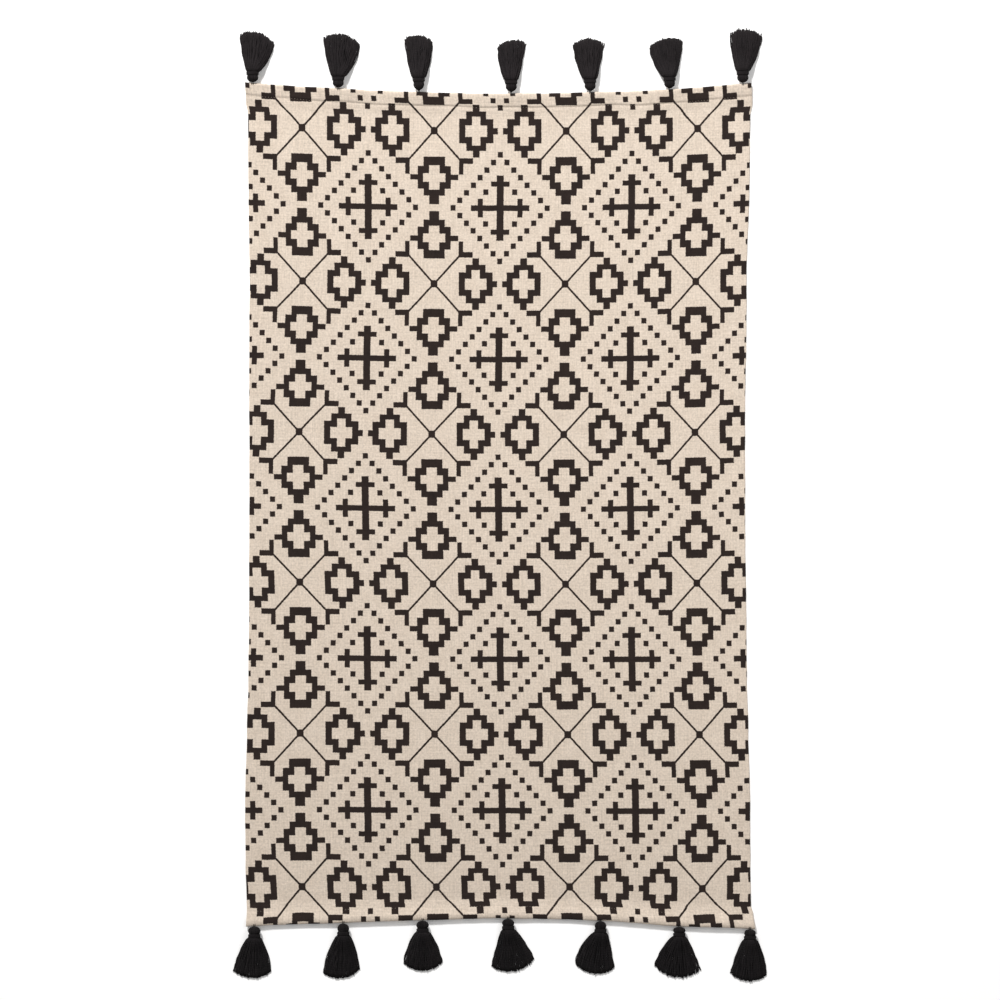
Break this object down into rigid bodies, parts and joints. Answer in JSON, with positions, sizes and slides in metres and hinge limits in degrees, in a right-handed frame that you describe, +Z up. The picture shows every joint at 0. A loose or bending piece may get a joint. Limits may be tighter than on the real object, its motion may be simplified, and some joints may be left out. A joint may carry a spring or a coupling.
{
  "type": "cotton rug with tassels",
  "caption": "Flat-woven cotton rug lying flat, cream with a dark geometric repeat, a turned hem at each end and yarn tassels along both hems.",
  "frame": {"origin": "middle of the rug's underside, on the surface it lies on", "axes": "+Y along the rug's length towards its back hem, +X across its width, +Z up through the printed face"},
  "size_m": [0.9618, 1.7237, 0.019],
  "materials": {
    "printed_cotton": "matt flat weave, cream, with a near-black geometric print",
    "black_yarn": "matt twisted cotton yarn",
    "binding_thread": "matt wound cotton thread"
  },
  "bodies": {
    "root": {"rug_cloth": "printed_cotton", "tassel_back_1": "black_yarn", "tassel_back_2": "black_yarn", "tassel_back_3": "black_yarn", "tassel_back_4": "black_yarn", "tassel_back_5": "black_yarn", "tassel_back_6": "black_yarn", "tassel_back_7": "black_yarn", "tassel_front_1": "black_yarn", "tassel_front_2": "black_yarn", "tassel_front_3": "black_yarn", "tassel_front_4": "black_yarn", "tassel_front_5": "black_yarn", "tassel_front_6": "black_yarn", "tassel_front_7": "black_yarn", "binding_back_1": "binding_thread", "binding_back_2": "binding_thread", "binding_back_3": "binding_thread", "binding_back_4": "binding_thread", "binding_back_5": "binding_thread", "binding_back_6": "binding_thread", "binding_back_7": "binding_thread", "binding_front_1": "binding_thread", "binding_front_2": "binding_thread", "binding_front_3": "binding_thread", "binding_front_4": "binding_thread", "binding_front_5": "binding_thread", "binding_front_6": "binding_thread", "binding_front_7": "binding_thread"}
  },
  "joints": []
}
